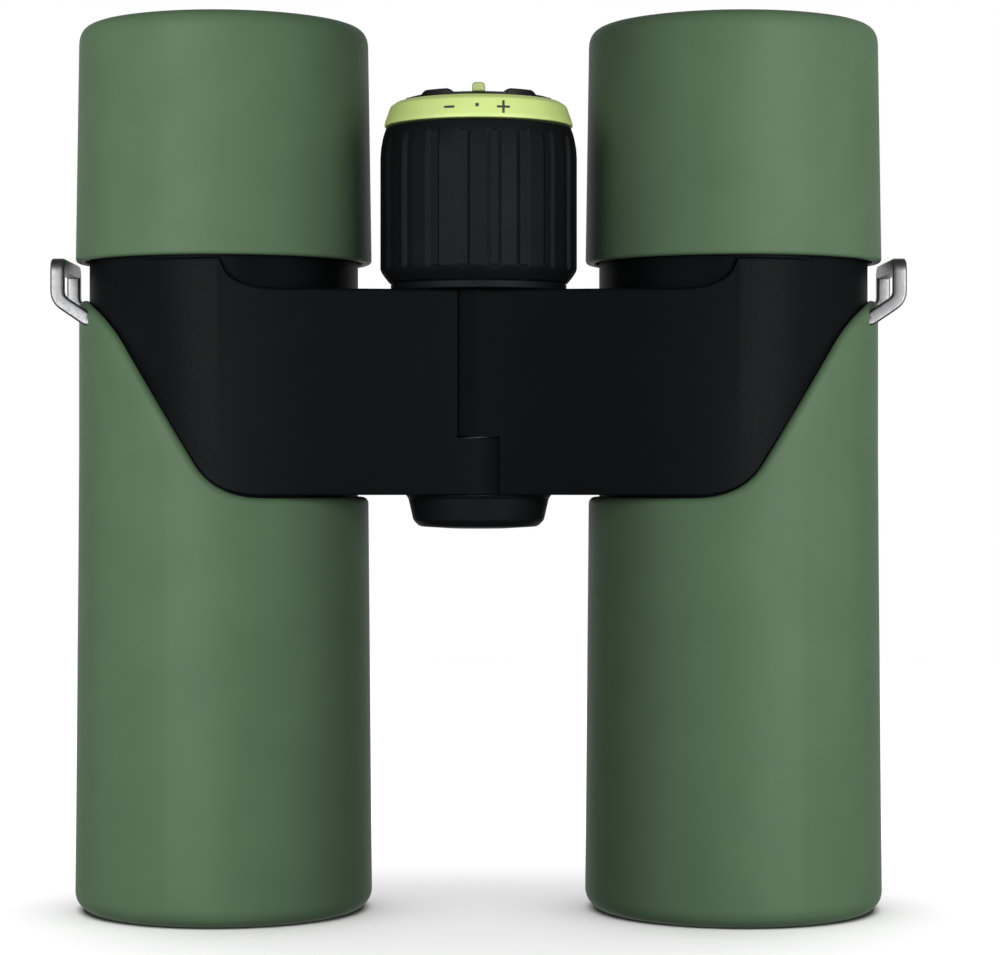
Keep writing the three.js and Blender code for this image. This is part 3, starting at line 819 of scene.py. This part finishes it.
def make_pointer():
    """Round-topped index peg laid across the rim of the dial."""
    low, high = box_mm("diopter_pointer")
    half = high.x
    foot = low.z - 0.3
    crown = half * 0.95
    outline = rounded([
        (-half, foot, 0.05),
        (half, foot, 0.05),
        (half, high.z, crown),
        (-half, high.z, crown),
    ], 8)
    middle_z = (low.z + high.z) / 2
    front = ((0, 0.7), (0.1, 0.9), (0.35, 1))
    back = ((0.3, 1), (0.05, 0.85), (0, 0.7))
    ends = [(low.y + inwards, scale) for inwards, scale in front]
    ends += [(high.y - inwards, scale) for inwards, scale in back]
    rings = []
    for y, scale in ends:
        rings.append([(x * scale, y - HINGE_Y, middle_z + (z - middle_z) * scale) for x, z in outline])
    bm = bmesh.new()
    rows = skin(bm, rings)
    bm.faces.new(rows[0])
    bm.faces.new(rows[-1])
    peg = finish_mesh("diopter_index_peg", bm, (0, HINGE_Y))
    return dress(peg, "dial", "scale_lime", MATERIALS["peg"], "diopter_pointer")


def make_end_cap():
    """Shallow cup under the hinge, flared where it meets the bridge."""
    low, high = box_mm("end_cap")
    radius = high.x
    top = BRIDGE_BOTTOM - SEAM_GAP
    profile = [(0, low.z)] + rounded([
        (4, low.z, 0),
        (7.9, low.z + 0.25, 1.2),
        (8.7, low.z + 1.1, 1.0),
        (radius + 0.1, top - 0.5, 0.3),
        (radius + 0.45, top, 0.05),
        (8.4, top, 0.1),
        (8.1, low.z + 0.9, 0.3),
    ]) + [(0, low.z + 0.7)]
    cap = turned("hinge_end_cap", profile, (0, HINGE_Y))
    return dress(cap, "right_half", "body_black", MATERIALS["body"], "end_cap")


def make_bearing_collar():
    """Flanged collar between the bridge and the wheel."""
    _, high = box_mm("bearing_collar")
    radius = high.x + 0.2
    bottom = BRIDGE_TOP + SEAM_GAP
    flange_top = WHEEL_BOTTOM - 0.1
    tube_hole = 6.5
    hub_hole = 7.6
    hub_hole_floor = 88.4
    sleeve = 9
    profile = rounded([
        (tube_hole, bottom, 0),
        (radius, bottom, 0.2),
        (radius, flange_top, 0.2),
        (sleeve, flange_top, 0),
        (sleeve, high.z, 0.1),
        (hub_hole, high.z, 0),
        (hub_hole, hub_hole_floor, 0),
        (tube_hole, hub_hole_floor, 0),
    ])
    collar = turned("wheel_bearing_collar", profile, (0, HINGE_Y))
    return dress(collar, "right_half", "body_black", MATERIALS["body"], "bearing_collar")


# ----------------------------------------------------------------------------------------------
# Optics and the tubes seen round them
# ----------------------------------------------------------------------------------------------

def turned_size(node):
    """Radius, lowest and highest level of a turned CAD node of a barrel."""
    low, high = box_mm(f"left_{node}")
    return (high.x - low.x) / 2, low.z, high.z


def make_lens(side, node, lower_bulge, upper_bulge, material):
    """A lens with two domed faces, which stand out from its edge by the two bulges."""
    radius, low, high = turned_size(node)
    bottom = low + lower_bulge
    top = high - upper_bulge
    shares = [i / 16 for i in range(17)]
    lower = [(radius * share, bottom - lower_bulge * (1 - share ** 2)) for share in shares]
    upper = [(radius * share, top + upper_bulge * (1 - share ** 2)) for share in shares]
    lens = turned(f"{side}_{node}_glass", lower + upper[::-1], centre_of(side), 96)
    return dress(lens, f"{side}_half", "lens_glass", MATERIALS[material], f"{side}_{node}")


def make_inner_piece(side, node, name, outline, slot="inner_black", body="half"):
    """A black turned piece inside a barrel, from an outline of (radius, height, corner radius)."""
    piece = turned(f"{side}_{name}", rounded(outline), centre_of(side))
    return dress(piece, f"{side}_{body}", slot, MATERIALS["inner"], f"{side}_{node}")


def make_objective_ring(side):
    """Ring that holds the front lens, with a chamfer facing out."""
    radius, low, high = turned_size("objective_ring")
    inner = radius - 0.8
    make_inner_piece(side, "objective_ring", "objective_retainer", [
        (radius - 1.5, low + 1.4, 0.15),
        (radius, low, 0.15),
        (radius, high, 0.1),
        (inner, high, 0.1),
    ])


def make_eyepiece_ring(side):
    """Ring that holds the eye lens, with its inner top edge rounded."""
    radius, low, high = turned_size("eyepiece_ring")
    make_inner_piece(side, "eyepiece_ring", "eyepiece_retainer", [
        (radius - 1.2, low, 0.1),
        (radius, low, 0.1),
        (radius, high, 0.1),
        (radius - 0.7, high, 0.3),
    ])


def make_barrel_tube(side):
    """Tube under the armour, stepped in at the top where it enters the bridge."""
    radius, low, high = turned_size("barrel_tube")
    step = high - 4.8
    lens_seat = 14
    make_inner_piece(side, "barrel_tube", "barrel_tube_wall", [
        (radius - 1.4, low, 0.2),
        (radius, low, 0.2),
        (radius, step, 0.1),
        (radius - 0.7, step, 0.1),
        (radius - 0.7, high, 0.1),
        (radius - 2.2, high, 0.1),
        (radius - 2.2, lens_seat, 0.1),
        (radius - 1.4, lens_seat, 0.1),
    ], slot="body_black")


def make_eyepiece_tube(side):
    """Tube of the eyepiece: narrow in the bridge, and wide where the eyecup slides on it."""
    radius, low, high = turned_size("eyepiece_tube")
    bore = radius - 5.7
    neck = radius - 3.5
    step = low + 3.8
    make_inner_piece(side, "eyepiece_tube", "eyepiece_tube_wall", [
        (bore, low, 0.1),
        (neck, low, 0.1),
        (neck, step, 0.1),
        (radius, step, 0.2),
        (radius, high, 0.4),
        (bore, high, 0.3),
    ])


def make_eyecup_sleeve(side):
    """Sleeve that rises with the eyecup."""
    radius, low, high = turned_size("eyecup_carrier")
    bore = radius - 1.05
    make_inner_piece(side, "eyecup_carrier", "eyecup_sleeve", [
        (bore, low, 0.1),
        (radius, low, 0.2),
        (radius, high, 0.2),
        (bore, high, 0.1),
    ], body="eyecup_carrier")


# ----------------------------------------------------------------------------------------------
# Putting it together
# ----------------------------------------------------------------------------------------------

def dress(obj, body, slot, material, *nodes):
    """Gives a piece its material and its body, and hides the CAD nodes that it stands for. The slot is
    not used.
    """
    obj.data.materials.clear()
    obj.data.materials.append(material)
    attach(obj, body)
    if nodes:
        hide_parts(*nodes)
    return obj


MATERIALS = {
    "green": green_rubber(),
    "body": black_body(),
    "grip": black_rubber(),
    "plastic": black_plastic(),
    "inner": inner_black(),
    "seal": seal_rubber(),
    "lime": lime_plastic("lime_plastic", 1.0),
    "peg": lime_plastic("lime_plastic_deep", 1.9),
    "mark": mark_paint(),
    "steel": steel(),
    "brass": brass(),
    "front_glass": coated_glass("front_glass", (0.86, 0.95, 0.9)),
    "rear_glass": coated_glass("rear_glass", (0.9, 0.93, 0.97)),
}

SLOT_MATERIALS = {
    "armour_rubber": "green",
    "body_black": "body",
    "inner_black": "inner",
    "grip_rubber": "grip",
    "scale_lime": "lime",
    "dial_black": "plastic",
    "lug_steel": "steel",
    "bush_brass": "brass",
    "seal_rubber": "seal",
    "lens_glass": "rear_glass",
}


def dress_cad_nodes():
    """Gives every carried-over CAD node the procedural material of its slot."""
    slots = {entry["node"]: entry["material_slot"] for entry in frame["record"]["subparts"]}
    for name, node in frame["nodes"].items():
        material = MATERIALS[SLOT_MATERIALS[slots[name]]]
        node.data.materials.clear()
        node.data.materials.append(material)


dress_cad_nodes()
for barrel in SIDES:
    make_armour(barrel)
    make_bridge(barrel)
    make_eyecup(barrel)
    make_strap_lug(barrel)
    make_lens(barrel, "objective_lens", 0.9, 0.4, "front_glass")
    make_lens(barrel, "eye_lens", 0.5, 0.9, "rear_glass")
    make_objective_ring(barrel)
    make_eyepiece_ring(barrel)
    make_barrel_tube(barrel)
    make_eyepiece_tube(barrel)
    make_eyecup_sleeve(barrel)
make_wheel_grip()
make_scale_ring()
make_scale_marks()
make_dial()
make_pointer()
make_end_cap()
make_bearing_collar()


# ----------------------------------------------------------------------------------------------
# Camera, floor and light
# ----------------------------------------------------------------------------------------------

def make_camera():
    """A level camera at half the object's height, about ten barrel diameters away."""
    distance = 0.3997
    eye_height = 0.0599
    data = bpy.data.cameras.new("camera")
    data.sensor_width = 36
    data.lens = 106.2
    data.shift_x = 0.0214
    data.shift_y = -0.0125
    data.clip_start = 0.01
    camera = bpy.data.objects.new("camera", data)
    camera.location = (0, -distance, eye_height)
    camera.rotation_euler = (math.pi / 2, 0, 0)
    bpy.context.scene.collection.objects.link(camera)
    bpy.context.scene.camera = camera


def make_floor():
    """A round white floor, lit evenly from above so that it runs into the white background."""
    bm = bmesh.new()
    bmesh.ops.create_circle(bm, cap_ends=True, segments=96, radius=FLOOR_RADIUS)
    mesh = bpy.data.meshes.new("floor")
    bm.to_mesh(mesh)
    bm.free()
    floor = bpy.data.objects.new("floor", mesh)
    bpy.context.scene.collection.objects.link(floor)
    material, _, shader = new_material("floor_white")
    shader.inputs["Base Color"].default_value = (0.6, 0.6, 0.6, 1)
    shader.inputs["Roughness"].default_value = 0.8
    shader.inputs["Specular IOR Level"].default_value = 0.1
    mesh.materials.append(material)
    floor.visible_diffuse = False
    floor.visible_glossy = False
    return floor


def area_light(name, place, target, size, power):
    """A square soft box that faces a target."""
    data = bpy.data.lights.new(name, "AREA")
    data.shape = "RECTANGLE"
    data.size = size
    data.size_y = size
    data.energy = power
    light = bpy.data.objects.new(name, data)
    light.location = place
    towards = Vector(target) - Vector(place)
    light.rotation_euler = towards.to_track_quat("-Z", "Y").to_euler()
    bpy.context.scene.collection.objects.link(light)
    return light


def light_only(light, objects):
    """Keeps a light to the given objects."""
    lit = bpy.data.collections.new(f"lit_by_{light.name}")
    for obj in objects:
        lit.objects.link(obj)
    light.light_linking.receiver_collection = lit


def make_floor_light(floor):
    """Lights the floor alone, so that it stays white and the barrels stand in soft shadows."""
    behind = 0.05
    overhead = area_light("overhead", (0, behind, 0.9), (0, behind, 0), size=1.3, power=28)
    light_only(overhead, [floor])


def make_light(floor):
    """Soft boxes level with the object: a large key, a weak cross fill and a side fill per barrel.

    The lights of one barrel leave the other barrel alone. Angles are in degrees from the front,
    outwards for the key and the side fill, and inwards for the cross fill.
    """
    height = 0.065
    for side, outward, key_angle, key_power, cross_angle in (
        ("left", -1, 24, 6.9, 50),
        ("right", 1, 32, 7.0, 45),
    ):
        other = "right_" if side == "left" else "left_"
        lit = [
            obj for obj in bpy.data.objects
            if obj.type == "MESH" and obj != floor and not obj.name.startswith(other)
        ]
        for name, angle, distance, size, power in (
            ("key", outward * key_angle, 0.8, 0.55, key_power),
            ("cross", -outward * cross_angle, 0.8, 0.4, 1.5),
            ("side", outward * 84, 0.7, 0.35, 0.55),
        ):
            turn = math.radians(angle)
            place = (distance * math.sin(turn), -distance * math.cos(turn), height)
            softbox = area_light(f"{side}_{name}_softbox", place, (0, 0, height), size, power)
            light_only(softbox, lit)


def make_studio():
    """A dim studio with a brighter back wall; seen directly it is plain white."""
    dim = 0.07
    bright = 1.0
    wall_start = 0.6
    wall_full = 0.95
    world = bpy.data.worlds.new("studio")
    world.use_nodes = True
    tree = world.node_tree
    background = tree.nodes["Background"]
    place = tree.nodes.new("ShaderNodeTexCoord")
    split = tree.nodes.new("ShaderNodeSeparateXYZ")
    span = tree.nodes.new("ShaderNodeMapRange")
    span.inputs["From Min"].default_value = wall_start
    span.inputs["From Max"].default_value = wall_full
    span.inputs["To Min"].default_value = dim
    span.inputs["To Max"].default_value = bright
    path = tree.nodes.new("ShaderNodeLightPath")
    seen = tree.nodes.new("ShaderNodeMath")
    seen.operation = "MAXIMUM"
    tree.links.new(place.outputs["Generated"], split.inputs["Vector"])
    tree.links.new(split.outputs["Y"], span.inputs["Value"])
    tree.links.new(path.outputs["Is Camera Ray"], seen.inputs[0])
    tree.links.new(span.outputs["Result"], seen.inputs[1])
    tree.links.new(seen.outputs["Value"], background.inputs["Strength"])
    background.inputs["Color"].default_value = (1, 1, 1, 1)
    bpy.context.scene.world = world


make_camera()
studio_floor = make_floor()
make_floor_light(studio_floor)
make_light(studio_floor)
make_studio()
bpy.context.scene.view_settings.view_transform = "Standard"
